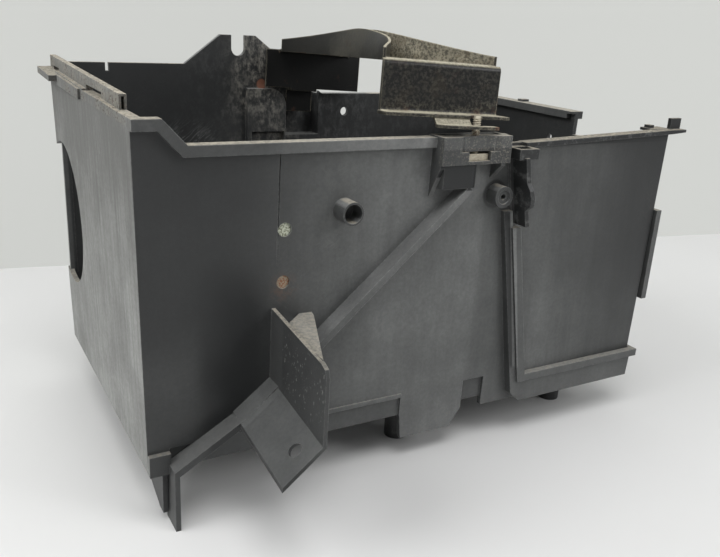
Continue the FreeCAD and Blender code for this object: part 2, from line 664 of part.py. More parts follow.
def clamp_socket(body):
    """The bolt socket on the front wall with its scooped face, nut slot, throat and struts."""
    front = "-(%s + Size.socket_reach)" % HALF_WIDE
    slot_low = "Size.socket_low + Size.socket_roof"
    slot_high = slot_low + " + Size.nut_thick + 1.3"
    block = box("Size.socket_left", "Size.socket_low", "Size.socket_right", "Size.rim_top + 0.7")
    pad(body, "socket", "XZ", block, front, ROOT)
    bevel = "Size.socket_skin"
    throat = [("Size.socket_left + Size.rib_thick", ROOT), ("Size.socket_left + Size.rib_thick", front + " + 1.6"),
              ("Size.throat_right - " + bevel, front + " + 1.6"),
              ("Size.throat_right - %s * 0.3" % bevel, front + " + 1.6 + %s * 0.3" % bevel),
              ("Size.throat_right", front + " + 1.6 + " + bevel), ("Size.throat_right", ROOT)]
    pad(body, "throat", "XY", throat, "Size.throat_low", "Size.socket_low + 1")
    for name, across, low in (("strut_left", "Size.socket_left", "Size.strut_low"),
                              ("strut_right", "Size.strut_right_x", "Size.strut_right_low")):
        web = [(front + " + 1.6", "Size.socket_low + 1"), (ROOT, "Size.socket_low + 1"), (ROOT, low),
               ("-(%s) - 0.5" % out_y(low), low), (front + " + 1.6", "Size.socket_low - 1.5")]
        pad(body, name, "YZ", web, across, across + " + Size.rib_thick")
    well = box("Size.socket_left + Size.socket_skin", front + " + Size.well_skin",
               "Size.socket_right - Size.socket_skin", "-(%s)" % HALF_WIDE + " - 0.4")
    pocket(body, "socket_well", "XY", well, slot_high + " + Size.socket_roof", SKY)
    slot = box("Size.bolt_x - Size.nut_wide / 2 - 0.4", front + " - 1",
               "Size.bolt_x + Size.nut_wide / 2 + 0.4", BOLT_Y + " + Size.nut_deep / 2 + 0.3")
    pocket(body, "nut_slot", "XY", slot, slot_low, slot_high)
    round_pocket(body, "bolt_way", "XY", "Size.bolt_x", BOLT_Y, "Size.bolt_hole_r",
                 "Size.socket_low - Size.bolt_room", SKY)
    round_pocket(body, "socket_scoop", "XY", "Size.bolt_x",
                 front + " + Size.scoop_deep - Size.scoop_r", "Size.scoop_r", slot_high, SKY)


PANEL_BACK = "-(Size.tray_width / 2 + Size.panel_proud - Size.panel_thick - Size.slide_gap)"
PANEL_FRONT = "-(Size.tray_width / 2 + Size.panel_proud + Size.slide_gap)"
PANEL_SIDE = "-Size.groove - Size.slide_gap"
PANEL_FOOT = "Size.sill_top - Size.groove - Size.slide_gap"


def panel_opening(body):
    """The opening in the front wall that the panel closes."""
    inner = PANEL_BACK
    edge = PANEL_SIDE
    sill = PANEL_FOOT
    top = "Size.tower_top"
    opening = [(panel_edge(sill, edge), sill), (FAR_OUT, sill), (FAR_OUT, top), (panel_edge(top, edge), top)]
    pocket(body, "panel_opening", "XZ", opening, "-Size.tray_width", inner)
    inside = [(panel_edge("Size.sill_top"), "Size.sill_top"), (INSIDE_RIGHT, "Size.sill_top"),
              (INSIDE_RIGHT, top), (panel_edge(top), top)]
    pocket(body, "panel_view", "XZ", inside, inner, INSIDE_FRONT + " + 1")


def panel_guide(body):
    """The L-shaped channel that holds the panel, its lip and the keeper at the right end."""
    inner = PANEL_BACK
    outer = PANEL_FRONT
    edge = PANEL_SIDE
    sill = PANEL_FOOT
    back = "-(%s - Size.wall)" % HALF_WIDE
    front = "-(Size.tray_width / 2 + Size.panel_proud + Size.guide_proud)"
    guide = [(panel_edge("Size.skirt_low + 6", "-Size.guide_wide"), "Size.skirt_low + 6"),
             (panel_edge("Size.skirt_low", "-Size.guide_wide + 6"), "Size.skirt_low"),
             ("Size.tray_length / 2 - 1", "Size.skirt_low"), ("Size.tray_length / 2", sill),
             (panel_edge(sill, edge), sill), (panel_edge("Size.guide_high", edge), "Size.guide_high"),
             (panel_edge("Size.guide_high", "-Size.guide_wide"), "Size.guide_high")]
    pad(body, "guide", "XZ", guide, front, back)
    lip_face = "-(Size.tray_width / 2 + Size.panel_proud + Size.lip_proud)"
    low = "Size.sill_top - Size.sill_deep"
    lip = [(panel_edge(low, "-Size.lip_wide - 1"), low), ("Size.tray_length / 2 + 4", low),
           ("Size.tray_length / 2 + 4", "Size.sill_top"), (panel_edge("Size.sill_top"), "Size.sill_top"),
           (panel_edge("Size.lip_high"), "Size.lip_high"),
           (panel_edge("Size.lip_high", "-Size.lip_wide - 1"), "Size.lip_high")]
    pad(body, "guide_lip", "XZ", lip, lip_face, outer)
    wrap = [("Size.tray_length / 2 + 1.2", lip_face), ("Size.tray_length / 2 + 4", lip_face),
            ("Size.tray_length / 2 + 4", "-(%s - 8)" % HALF_WIDE), ("Size.tray_length / 2 - 1", "-(%s - 8)" % HALF_WIDE),
            ("Size.tray_length / 2 - 1", inner), ("Size.tray_length / 2 + 1.2", inner)]
    pad(body, "guide_corner", "XY", wrap, low, "Size.sill_top")
    keeper_in = out_x("Size.keeper_high") + " + Size.slide_gap + 0.6"
    keeper = [(keeper_in, outer + " - Size.lip_thick"), (keeper_in + " + Size.keeper_wide", outer + " - Size.lip_thick"),
              (keeper_in + " + Size.keeper_wide", "-(%s - 8)" % HALF_WIDE),
              ("Size.tray_length / 2 - 1", "-(%s - 8)" % HALF_WIDE), ("Size.tray_length / 2 - 1", inner),
              (keeper_in, inner)]
    pad(body, "keeper", "XY", keeper, "Size.keeper_low", "Size.keeper_high")


def make_tray():
    """The moulded box, one piece with everything that is moulded onto it."""
    groups = {
        "Shell": (box_shell, left_cutout, back_wall, skirt, front_marks, panel_opening),
        "Rims": (rims,),
        "Rail": (left_rail,),
        "Feet": (feet_and_fins,),
        "Rib": (diagonal_rib,),
        "Bracket": (side_bracket,),
        "Bosses": (front_bosses,),
        "Socket": (clamp_socket,),
        "Guide": (panel_guide,),
    }
    bodies = []
    for name, steps in groups.items():
        body = new_body(name, name.lower())
        for step in steps:
            step(body)
        bodies.append(settle(body))
    whole = doc.addObject("Part::MultiFuse", "Tray")
    whole.Label = "tray_body"
    whole.Shapes = bodies
    whole.Refine = True
    return whole


def make_panel():
    """The lift-out front panel with its rim, slotted ear, grip plate and stop block."""
    body = new_body("Panel", "front_panel")
    face = "-(Size.tray_width / 2 + Size.panel_proud)"
    back = "-(Size.tray_width / 2 + Size.panel_proud - Size.panel_thick)"
    low = "Size.sill_top - Size.groove"
    plate = [(panel_edge(low, "-Size.groove"), low), (out_x(low), low),
             (out_x("Size.panel_top_right"), "Size.panel_top_right"),
             (panel_edge("Size.panel_top_left", "-Size.groove"), "Size.panel_top_left")]
    pad(body, "plate", "XZ", plate, face, back)
    rise = "(Size.panel_top_right - Size.panel_top_left) * 0.1"
    rim = [("Size.ear_right - 2", "Size.panel_top_left - Size.panel_rim_deep"),
           (out_x("Size.rim_top"), "Size.panel_top_right - Size.panel_rim_deep"),
           (HALF_LONG + " + Size.rim_run", "Size.panel_top_right - Size.panel_rim_deep + 0.8"),
           (HALF_LONG + " + Size.rim_run", "Size.panel_top_right"),
           (out_x("Size.rim_top"), "Size.panel_top_right"), ("Size.ear_right - 2", "Size.panel_top_left + " + rise)]
    pad(body, "rim", "XZ", rim, face + " - Size.rim_proud", back + " + 1")
    lug = box(out_x("Size.rim_top") + " - 12", back + " - 1", out_x("Size.rim_top") + " + 3", back + " + 9")
    pad(body, "lug", "XY", lug, "Size.panel_top_right - Size.panel_rim_deep + 0.8", "Size.panel_top_right")
    stop = box(out_x("Size.rim_top") + " + 1", face + " + 0.6", HALF_LONG + " + Size.rim_run - 1.2", back)
    pad(body, "stop", "XY", stop, "Size.panel_top_right - 1", "Size.panel_top_right + Size.stop_high")
    bump = box(out_x("Size.rim_top") + " - 11", back + " + 3", out_x("Size.rim_top") + " - 7", back + " + 7")
    pad(body, "bump", "XY", bump, "Size.panel_top_right - 1", "Size.panel_top_right + 1.8")
    ear_top = "Size.panel_top_left - Size.ear_drop"
    ear_low = ear_top + " - Size.ear_deep"
    ear = box("Size.ear_left", face + " - Size.ear_out", "Size.ear_right", face + " - Size.ear_stand")
    pad(body, "ear", "XY", ear, ear_low, ear_top)
    neck = box("Size.ear_left + Size.ear_skin", face + " - Size.ear_skin", "Size.ear_right", back)
    pad(body, "ear_neck", "XY", neck, ear_low, ear_top)
    slot = box("Size.ear_left + Size.ear_skin", face + " - Size.ear_out + Size.ear_skin",
               "Size.ear_right - Size.ear_skin", face + " - Size.ear_skin - 1")
    pocket(body, "ear_slot", "XY", slot, ear_low + " - 1", ear_top + " + 1")
    low_grip = "Size.grip_low"
    inner_grip = "-Size.grip_in"
    outer_grip = "Size.grip_thick - Size.grip_in"
    top_grip = ear_low + " + 1"
    out = face + " - Size.grip_reach"
    grip = [(panel_edge(low_grip, inner_grip), low_grip), (panel_edge(low_grip, outer_grip), low_grip),
            (panel_edge(top_grip, outer_grip), top_grip), (panel_edge(top_grip, inner_grip), top_grip)]
    pad(body, "grip", "XZ", grip, out, face + " + 1")
    edge = [(out + " - 1", low_grip + " - 1"), (out + " + 5.4", low_grip + " - 1"), (out + " + 5.4", low_grip + " + 9"),
            (out + " + 0.8", low_grip + " + 13"), (out, low_grip + " + 17"), (out + " + 0.8", low_grip + " + 21"),
            (out + " + 3", low_grip + " + 25"), (out + " + 3", top_grip), (out + " - 1", top_grip)]
    pocket(body, "grip_edge", "YZ", edge, panel_edge(top_grip, inner_grip + " - 1"),
           panel_edge(low_grip, outer_grip + " + 1"))
    return settle(body)


def clamp_frame():
    """Where the clamp lies on the tray: it is loose, so it is turned and tilted a little."""
    turn = Rotation(size("clamp_yaw"), size("clamp_roll"), size("clamp_pitch"))
    shift = Vector(size("clamp_x") - size("foot_x"), size("clamp_in") - size("foot_in"),
                   size("clamp_z"))
    return Placement(shift, turn)


def clamp_point(run, across=0.0):
    """A point on the clamp's curved side at a share of its length: its x, y and the height of the wall there."""
    side = min(1.0, 2 * abs(run - size("waist_place")))
    wide = size("clamp_waist") + (size("clamp_half") - size("side_in") - size("clamp_waist")) * side ** size("waist_bow")
    high = size("side_low") + (size("side_high") - size("side_low")) * (1 - side ** size("side_bow"))
    return wide + across, run * size("clamp_long"), high


def clamp_curve(start, end, across=0.0):
    """The clamp's side seen from above, for positive x."""
    count = int(size("side_points"))
    curve = Part.BSplineCurve()
    points = []
    for step in range(count + 1):
        wide, along, _ = clamp_point(start + (end - start) * step / count, across)
        points.append(Vector(wide, along, 0))
    curve.interpolate(points)
    return curve.toShape()


def make_clamp():
    """The pressed clamp: waisted web, two legs with feet, a stepped bolt tab and a rear hook."""
    body = doc.addObject("PartDesign::Body", "Clamp")
    body.Label = "clamp_pressing"
    body.Placement = clamp_frame()
    half = "Size.clamp_half"
    plate = "Size.clamp_plate"
    web = box("-Size.clamp_waist", "0", "Size.clamp_waist", "Size.clamp_long")
    pad(body, "web", "XY", web, "-" + plate, "0")
    near = box("-" + half, "-Size.leg_high", half, "0")
    pad(body, "near_leg", "XZ", near, "0", plate)
    pad(body, "far_leg", "XZ", near, "Size.clamp_long - " + plate, "Size.clamp_long")
    low = "-Size.leg_high"
    foot = box("-%s - 0.6" % half, "-Size.foot_deep", half + " + Size.foot_over", plate)
    pad(body, "near_foot", "XY", foot, low + " - " + plate, low)
    rear = box("Size.hook_left", "Size.clamp_long - " + plate, "Size.hook_right",
               "Size.clamp_long + Size.foot_deep")
    pad(body, "far_foot", "XY", rear, low + " - " + plate, low)
    step = [("-Size.foot_deep + Size.step_run", low), ("-Size.foot_deep + Size.step_run", low + " - " + plate),
            ("-Size.foot_deep - Size.step_run", low + " - Size.step_down - " + plate),
            ("-Size.foot_deep - Size.step_run", low + " - Size.step_down")]
    pad(body, "step", "YZ", step, "Size.step_left", "Size.step_right")
    tab = [("Size.step_left", "-Size.foot_deep - Size.step_run + 1"), ("Size.step_left", "-Size.tab_out + 3"),
           ("Size.step_left + 3", "-Size.tab_out"), ("Size.tab_end", "-Size.tab_out"),
           ("Size.tab_end", "-Size.foot_deep - Size.step_run"),
           ("Size.step_right", "-Size.foot_deep - Size.step_run + 1")]
    pad(body, "tab", "XY", tab, low + " - " + plate + " - Size.step_down", low + " - Size.step_down")
    hook = box("Size.hook_left", "Size.clamp_long + Size.foot_deep - " + plate, "Size.hook_right",
               "Size.clamp_long + Size.foot_deep")
    pad(body, "hook", "XY", hook, low + " - Size.hook_deep", low)
    return settle(body)


def clamp_web():
    """The flat web between the two curved sides."""
    right = clamp_curve(0, 1, -size("clamp_plate") / 2)
    left = right.mirror(Vector(0, 0, 0), Vector(1, 0, 0))
    ends = [Part.makeLine(left.Vertexes[row].Point, right.Vertexes[row].Point) for row in (0, 1)]
    outline = Part.Wire(Part.__sortEdges__([right, ends[1], left, ends[0]]))
    return Part.Face(outline).extrude(Vector(0, 0, -size("clamp_plate")))


def clamp_sides():
    """The two upturned sides, cut along the arched top line."""
    plate = size("clamp_plate")
    high = size("side_high")
    start = size("side_end_in") / size("clamp_long")
    outer = clamp_curve(start, 1 - start)
    inner = clamp_curve(start, 1 - start, -plate)
    ends = [Part.makeLine(outer.Vertexes[row].Point, inner.Vertexes[row].Point) for row in (0, 1)]
    band = Part.Face(Part.Wire(Part.__sortEdges__([outer, ends[1], inner, ends[0]])))
    band.translate(Vector(0, 0, -plate))
    wall = band.extrude(Vector(0, 0, high + plate * 2))
    count = int(size("side_points"))
    tops = []
    for step in range(count + 1):
        _, along, level = clamp_point(start + (1 - 2 * start) * step / count)
        tops.append(Vector(0, along, level))
    arch = Part.BSplineCurve()
    arch.interpolate(tops)
    ends = [Vector(0, tops[0].y - plate, -2 * plate), Vector(0, tops[-1].y + plate, -2 * plate)]
    tips = [Vector(0, ends[0].y, tops[0].z), Vector(0, ends[1].y, tops[-1].z)]
    edges = [arch.toShape(), Part.makeLine(tops[-1], tips[1]), Part.makeLine(tips[1], ends[1]),
             Part.makeLine(ends[1], ends[0]), Part.makeLine(ends[0], tips[0]), Part.makeLine(tips[0], tops[0])]
    under = Part.Face(Part.Wire(edges)).extrude(Vector(2 * size("clamp_half"), 0, 0))
    right = wall.common(under)
    return [right, right.mirror(Vector(0, 0, 0), Vector(1, 0, 0))]


def bend_edges(shape, levels):
    """The long edges along X that lie at one of the given (y, z) pairs."""
    found = []
    for edge in shape.Edges:
        ends = [vertex.Point for vertex in edge.Vertexes]
        if len(ends) == 2 and abs(ends[0].y - ends[1].y) + abs(ends[0].z - ends[1].z) < 1e-4:
            for along, level in levels:
                if abs(ends[0].y - along) + abs(ends[0].z - level) < 1e-4:
                    found.append(edge)
    return found


def finish_clamp(base):
    """The clamp with its curved web and sides, bends and bolt hole, as one solid in place."""
    frame = clamp_frame()
    plate = size("clamp_plate")
    long = size("clamp_long")
    low = -size("leg_high")
    local = base.Shape.copy()
    local.Placement = Placement()
    local = local.fuse(clamp_web()).removeSplitter()
    outer = bend_edges(local, [(0, 0), (long, 0)])
    local = local.makeFillet(size("clamp_bend"), outer)
    inner = bend_edges(local, [(plate, -plate), (long - plate, -plate), (0, low)])
    local = local.makeFillet(size("clamp_bend") - plate, inner)
    local = local.fuse(clamp_sides())
    hole = Part.makeCylinder(size("bolt_hole_r") + 0.9, size("step_down") * 4)
    spot = frame.inverse().multVec(bolt_spot(size("clamp_z") - size("leg_high")))
    hole.translate(Vector(spot.x, spot.y, spot.z - size("step_down") * 3))
    local = local.cut(hole).removeSplitter()
    local.Placement = frame
    return local


def bolt_spot(height):
    """A point on the bolt's axis in the finished frame."""
    return Vector(size("bolt_x") - size("foot_x"), -size("bolt_stand") - size("foot_in"), height)


def head_seat():
    """The height at which the bolt's head meets the clamp's foot."""
    frame = clamp_frame()
    spot = frame.inverse().multVec(bolt_spot(size("clamp_z") - size("leg_high")))
    reach = size("head_flats") / 2
    corners = [frame.multVec(Vector(spot.x + across, -size("foot_deep"), -size("leg_high"))).z
               for across in (-reach, reach)]
    return max(corners) + 0.05


def make_bolt():
    """The hexagon head bolt through the clamp's tab into the captive nut."""
    seat = head_seat()
    flats = size("head_flats")
    corner = flats / math.sqrt(3)
    points = [Vector(corner * math.cos(math.radians(60 * step)), corner * math.sin(math.radians(60 * step)), 0)
              for step in range(7)]
    head = Part.Face(Part.makePolygon(points)).extrude(Vector(0, 0, size("head_high")))
    long = size("bolt_long")
    shank = Part.makeCylinder(size("bolt_r"), long - 1.2, Vector(0, 0, 1.2 - long))
    point = Part.makeCone(size("bolt_r") - 1.1, size("bolt_r"), 1.2, Vector(0, 0, -long))
    bolt = doc.addObject("Part::Feature", "Bolt")
    bolt.Label = "hold_down_bolt"
    bolt.Shape = head.fuse([shank, point]).removeSplitter()
    bolt.Placement = Placement(bolt_spot(seat), Rotation())
    return bolt


def make_nut():
    """The square nut plate held in the socket's slot."""
    body = new_body("Nut", "captive_nut")
    low = "Size.socket_low + Size.socket_roof"
    plate = box("Size.bolt_x - Size.nut_wide / 2", BOLT_Y + " - Size.nut_deep / 2",
                "Size.bolt_x + Size.nut_wide / 2", BOLT_Y + " + Size.nut_deep / 2")
    pad(body, "nut_plate", "XY", plate, low, low + " + Size.nut_thick")
    round_pocket(body, "nut_hole", "XY", "Size.bolt_x", BOLT_Y, "Size.bolt_r + Size.nut_play",
                 low + " - 1", low + " + Size.nut_thick + 1")
    return settle(body)


def check(items):
    """Every object is up to date and every piece is one valid solid."""
    for item in doc.Objects:
        state = " ".join(item.State)
        if "Invalid" in state or "Error" in state:
            raise ValueError("%s is %s" % (item.Name, state))
    for item in items:
        if item.Shape.isNull() or not item.Shape.isValid() or len(item.Shape.Solids) != 1:
            raise ValueError("%s is not one valid solid" % item.Label)


tray = make_tray()
panel = make_panel()
clamp_base = make_clamp()
nut = make_nut()
bolt = make_bolt()
doc.recompute()

clamp = doc.addObject("Part::Feature", "ClampDone")
clamp.Label = "hold_down_clamp"
clamp.Shape = finish_clamp(clamp_base)

pieces = [tray, panel, clamp, bolt, nut]
check(pieces)
os.makedirs("parts", exist_ok=True)
for piece in pieces:
    piece.Shape.exportStep("parts/%s.step" % piece.Label)
    print(piece.Label, piece.Shape.BoundBox, round(piece.Shape.Volume / 1000, 1), "cm3")
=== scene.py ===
import math
import bmesh
import bpy
from mathutils import Matrix, Vector


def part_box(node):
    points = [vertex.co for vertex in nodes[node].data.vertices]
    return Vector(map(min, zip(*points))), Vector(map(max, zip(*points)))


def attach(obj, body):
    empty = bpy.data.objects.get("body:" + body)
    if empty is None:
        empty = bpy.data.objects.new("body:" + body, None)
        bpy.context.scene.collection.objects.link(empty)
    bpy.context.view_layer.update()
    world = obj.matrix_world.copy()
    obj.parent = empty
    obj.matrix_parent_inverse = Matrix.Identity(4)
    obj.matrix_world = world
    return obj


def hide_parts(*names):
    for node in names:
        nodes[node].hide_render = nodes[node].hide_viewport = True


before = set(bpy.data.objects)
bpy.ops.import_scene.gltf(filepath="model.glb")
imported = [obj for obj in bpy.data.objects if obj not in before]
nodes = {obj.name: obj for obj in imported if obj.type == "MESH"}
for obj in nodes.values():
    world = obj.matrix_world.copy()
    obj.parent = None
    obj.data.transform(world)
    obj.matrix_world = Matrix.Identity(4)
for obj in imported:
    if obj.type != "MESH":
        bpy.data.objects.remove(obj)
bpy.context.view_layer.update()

scene = bpy.context.scene

# Camera: its place in metres, its sensor and lens in millimetres
CAMERA_PLACE = Vector((-0.23633, -0.34721, 0.24232))
CAMERA_RIGHT = Vector((0.869263, -0.491241, 0.055361))
CAMERA_UP = Vector((0.114628, 0.309228, 0.944054))
CAMERA_BACK = Vector((-0.480877, -0.814285, 0.325110))
CAMERA_SENSOR = 36.0
CAMERA_LENS = 38.866

# Colours, linear
PLASTIC_BLACK = (0.018, 0.019, 0.0195)
GREY_FILM = (0.335, 0.341, 0.334)
TAN_DUST = (0.44, 0.40, 0.32)
DIRT_BROWN = (0.045, 0.026, 0.016)
CHIP_GREY = (0.42, 0.43, 0.4)
GRIT_TAN = (0.36, 0.33, 0.27)
CHALK_WHITE = (0.5, 0.52, 0.42)
CHALK_GREEN = (0.13, 0.14, 0.09)
CHALK_TAN = (0.3, 0.25, 0.18)
DISC_RUST = (0.24, 0.085, 0.035)
HALO_RUST = (0.16, 0.08, 0.045)
TEAL = (0.05, 0.23, 0.17)
TOWER_RUST = (0.3, 0.13, 0.08)
PAINT_BLACK = (0.006, 0.0065, 0.007)
PAINT_DUST = (0.42, 0.39, 0.30)
PAINT_BROWN = (0.085, 0.064, 0.038)
PAINT_RUST = (0.16, 0.06, 0.03)
ZINC = (0.5, 0.46, 0.37)
ZINC_RUST = (0.13, 0.07, 0.035)

# Places on the tray, in metres
LEFT_WALL_X = -0.15475
FRONT_WALL_Y = -0.0240
INSIDE_X = -0.1540
INSIDE_Y = -0.0205
RIGHT_END_X = 0.15525
RIM_Z = 0.1799
RIM_Y = -0.0295
RAIL_Z = 0.1925
RAIL_X = -0.1490
RAIL_Y = -0.0230
FIN_LEFT = -0.1583
FIN_RIGHT = -0.1500
FIN_Z = 0.19715
BRACKET_LEFT = -0.1155
BRACKET_RIGHT = -0.0925
BRACKET_Y = -0.0400
SOCKET_LEFT = -0.0125
SOCKET_RIGHT = 0.0345
GUIDE_X = 0.06227
GUIDE_LEAN = 0.168
GUIDE_LOW = 0.047
GUIDE_HIGH = 0.144
SCREW_BOSS = (0.0334, -0.0320, 0.1531)
TUBE_BOSS = (-0.0588, -0.0340, 0.1513)
HIGH_DISC = (-0.0896, -0.0265, 0.1438)
LOW_DISC = (-0.0896, -0.0260, 0.1177)
LOW_DISC_HALO = (-0.0890, -0.0260, 0.1150)
SLIT_MARK = (-0.1235, 0.1545, 0.1955)
TOWER_MARK = (-0.0253, 0.1571, 0.1915)
SCRAPED_SPOT = (-0.0780, 0.1568, 0.1450)


def place_camera():
    data = bpy.data.cameras.new("camera")
    data.sensor_width = CAMERA_SENSOR
    data.lens = CAMERA_LENS
    data.clip_start = 0.01
    data.clip_end = 30.0
    camera = bpy.data.objects.new("camera", data)
    turn = Matrix((CAMERA_RIGHT, CAMERA_UP, CAMERA_BACK)).transposed().to_4x4()
    camera.matrix_world = Matrix.Translation(CAMERA_PLACE) @ turn
    scene.collection.objects.link(camera)
    scene.camera = camera
    scene.view_settings.view_transform = "Standard"


class Tree:
    """Short calls for the nodes of one material. Limits of places are in metres."""

    def __init__(self, name):
        self.mat = bpy.data.materials.new(name)
        self.mat.use_nodes = True
        self.nt = self.mat.node_tree
        self.bsdf = self.nt.nodes["Principled BSDF"]
        self.coord = self.new("ShaderNodeTexCoord").outputs["Object"]
        self.geometry = self.new("ShaderNodeNewGeometry").outputs
        self.px, self.py, self.pz = self.parts(self.coord)
        self.nx, self.ny, self.nz = self.parts(self.geometry["True Normal"])

    def new(self, kind, **values):
        node = self.nt.nodes.new(kind)
        for key, value in values.items():
            setattr(node, key, value)
        return node

    def put(self, socket, value):
        """Links a socket or sets its value."""
        if isinstance(value, bpy.types.NodeSocket):
            self.nt.links.new(value, socket)
        elif isinstance(value, tuple) and len(value) == 3 and socket.type == "RGBA":
            socket.default_value = (*value, 1.0)
        else:
            socket.default_value = value

    def parts(self, vector):
        node = self.new("ShaderNodeSeparateXYZ")
        self.put(node.inputs[0], vector)
        return node.outputs

    def mapped(self, vector, key, value):
        node = self.new("ShaderNodeMapping")
        self.put(node.inputs["Vector"], vector)
        node.inputs[key].default_value = value
        return node.outputs[0]

    def noise(self, scale, detail=4.0, rough=0.6, vector=None):
        node = self.new("ShaderNodeTexNoise")
        self.put(node.inputs["Vector"], self.coord if vector is None else vector)
        node.inputs["Scale"].default_value = scale
        node.inputs["Detail"].default_value = detail
        node.inputs["Roughness"].default_value = rough
        return node.outputs["Fac"]

    def stretched(self, rotation, scale):
        """Coordinates that are turned first and stretched after."""
        return self.mapped(self.mapped(self.coord, "Rotation", rotation), "Scale", scale)

    def streaks(self, rotation, scale, detail=4.0, rough=0.65):
        """Noise that is stretched along an axis."""
        return self.noise(1.0, detail, rough, self.stretched(rotation, scale))

    def scratches(self, rotation, scale, width, seed):
        """Fine lines, where stretched noise crosses its middle."""
        shift = self.new("ShaderNodeVectorMath", operation="ADD")
        self.put(shift.inputs[0], self.stretched(rotation, scale))
        shift.inputs[1].default_value = (seed, seed * 2, seed * 3)
        noise = self.noise(1.0, 2.0, 0.5, shift.outputs[0])
        away = self.math("ABSOLUTE", self.math("SUBTRACT", noise, 0.5))
        return self.step(away, 0.0, width, 1.0, 0.0)

    def cells(self, scale):
        node = self.new("ShaderNodeTexVoronoi")
        self.put(node.inputs["Vector"], self.coord)
        node.inputs["Scale"].default_value = scale
        return node.outputs["Distance"]

    def math(self, kind, *values, clamp=False):
        node = self.new("ShaderNodeMath", operation=kind, use_clamp=clamp)
        for socket, value in zip(node.inputs, values):
            self.put(socket, value)
        return node.outputs[0]

    def times(self, first, *others):
        for other in others:
            first = self.math("MULTIPLY", first, other)
        return first

    def plus(self, first, *others):
        for other in others:
            first = self.math("ADD", first, other)
        return first

    def clamp(self, value):
        return self.math("ADD", value, 0.0, clamp=True)

    def without(self, mask):
        """One where a mask is zero, and less as the mask grows."""
        return self.math("SUBTRACT", 1.0, mask)

    def step(self, value, start, end, at_start=0.0, at_end=1.0):
        """A smooth change of a value between two limits."""
        node = self.new("ShaderNodeMapRange", interpolation_type="SMOOTHSTEP")
        self.put(node.inputs["Value"], value)
        limits = {"From Min": start, "From Max": end, "To Min": at_start, "To Max": at_end}
        for key, number in limits.items():
            node.inputs[key].default_value = number
        return node.outputs["Result"]

    def above(self, value, level, soft):
        return self.step(value, level - soft, level + soft)

    def below(self, value, level, soft):
        return self.step(value, level - soft, level + soft, 1.0, 0.0)

    def band(self, value, low, high, soft):
        """One between two limits and zero outside them."""
        return self.times(self.above(value, low, soft), self.below(value, high, soft))

    def dimmed(self, mask, share):
        """One outside a mask and a smaller share inside it."""
        return self.step(mask, 0.0, 1.0, 1.0, share)

    def looks_against(self, normal_part):
        """Faces that look squarely against an axis, to the left or to the front."""
        return self.below(normal_part, -0.75, 0.15)

    def leftward(self):
        """Faces that look mostly to the left."""
        return self.below(self.nx, -0.65, 0.15)

    def upward(self):
        """Faces that lie nearly flat and look up."""
        return self.above(self.nz, 0.905, 0.065)

    def crumbs(self, fleck):
        """The share of dust where it lies in crumbs."""
        return self.step(fleck, 0.38, 0.62, 0.35, 1.0)

    def spot(self, point, radius, soft):
        node = self.new("ShaderNodeVectorMath", operation="DISTANCE")
        self.put(node.inputs[0], self.coord)
        node.inputs[1].default_value = point
        return self.below(node.outputs["Value"], radius, soft)

    def mix(self, share, first, second):
        node = self.new("ShaderNodeMix", data_type="RGBA")
        self.put(node.inputs[0], share)
        self.put(node.inputs[6], first)
        self.put(node.inputs[7], second)
        return node.outputs[2]

    def mix_shaders(self, share, first, second):
        node = self.new("ShaderNodeMixShader")
        for socket, value in zip(node.inputs, (share, first, second)):
            self.put(socket, value)
        return node.outputs[0]

    def rounded(self, radius):
        """The normal with its edges rounded, and a mask of those edges."""
        node = self.new("ShaderNodeBevel", samples=4)
        node.inputs["Radius"].default_value = radius
        dot = self.new("ShaderNodeVectorMath", operation="DOT_PRODUCT")
        self.put(dot.inputs[0], node.outputs[0])
        self.put(dot.inputs[1], self.geometry["True Normal"])
        return node.outputs[0], self.step(dot.outputs["Value"], 0.8, 0.98, 1.0, 0.0)

    def bump(self, height, strength, distance, normal):
        node = self.new("ShaderNodeBump")
        node.inputs["Strength"].default_value = strength
        node.inputs["Distance"].default_value = distance
        self.put(node.inputs["Height"], height)
        self.put(node.inputs["Normal"], normal)
        self.put(self.bsdf.inputs["Normal"], node.outputs[0])

    def finish(self, colour, rough, metallic=0.0, specular=0.36):
        self.put(self.bsdf.inputs["Base Color"], colour)
        self.put(self.bsdf.inputs["Roughness"], rough)
        self.bsdf.inputs["Metallic"].default_value = metallic
        self.bsdf.inputs["Specular IOR Level"].default_value = specular
        return self.mat


def plastic_surface(t, film, tan):
    """Black moulded plastic under a grey film and tan dust, with fine scratches, and with edges lightened
    both by wear and as a painted highlight.
    """
    normal, edge = t.rounded(0.0007)
    grain = t.noise(1500, 2.0, 0.6)
    fleck = t.noise(520, 3.0, 0.7)
    cloud = t.noise(22, 5.0, 0.65)
    film = t.times(film, t.step(cloud, 0.3, 0.75, 0.75, 1.2), t.step(fleck, 0.3, 0.7, 0.88, 1.1))
    scratch = t.plus(t.scratches((0, 0.5, 0.3), (26, 26, 900), 0.012, 3.1),
                     t.scratches((0, -0.7, 0.2), (20, 20, 700), 0.009, 7.7))
    scratch = t.times(scratch, t.step(t.noise(24, 3.0), 0.55, 0.7), 0.07)
    # edges lightened partly by wear and partly as a painted highlight
    worn_and_highlit_edge = t.times(edge, t.step(fleck, 0.35, 0.6, 0.16, 0.42))
    film = t.clamp(t.plus(film, worn_and_highlit_edge, scratch))
    colour = t.mix(film, PLASTIC_BLACK, GREY_FILM)
    colour = t.mix(t.clamp(tan), colour, TAN_DUST)
    dusty = t.clamp(t.plus(film, tan))
    t.bump(t.plus(grain, t.times(dusty, fleck, 1.5)), 0.22, 0.00025, normal)
    return colour, t.step(dusty, 0.0, 0.55, 0.4, 0.82)


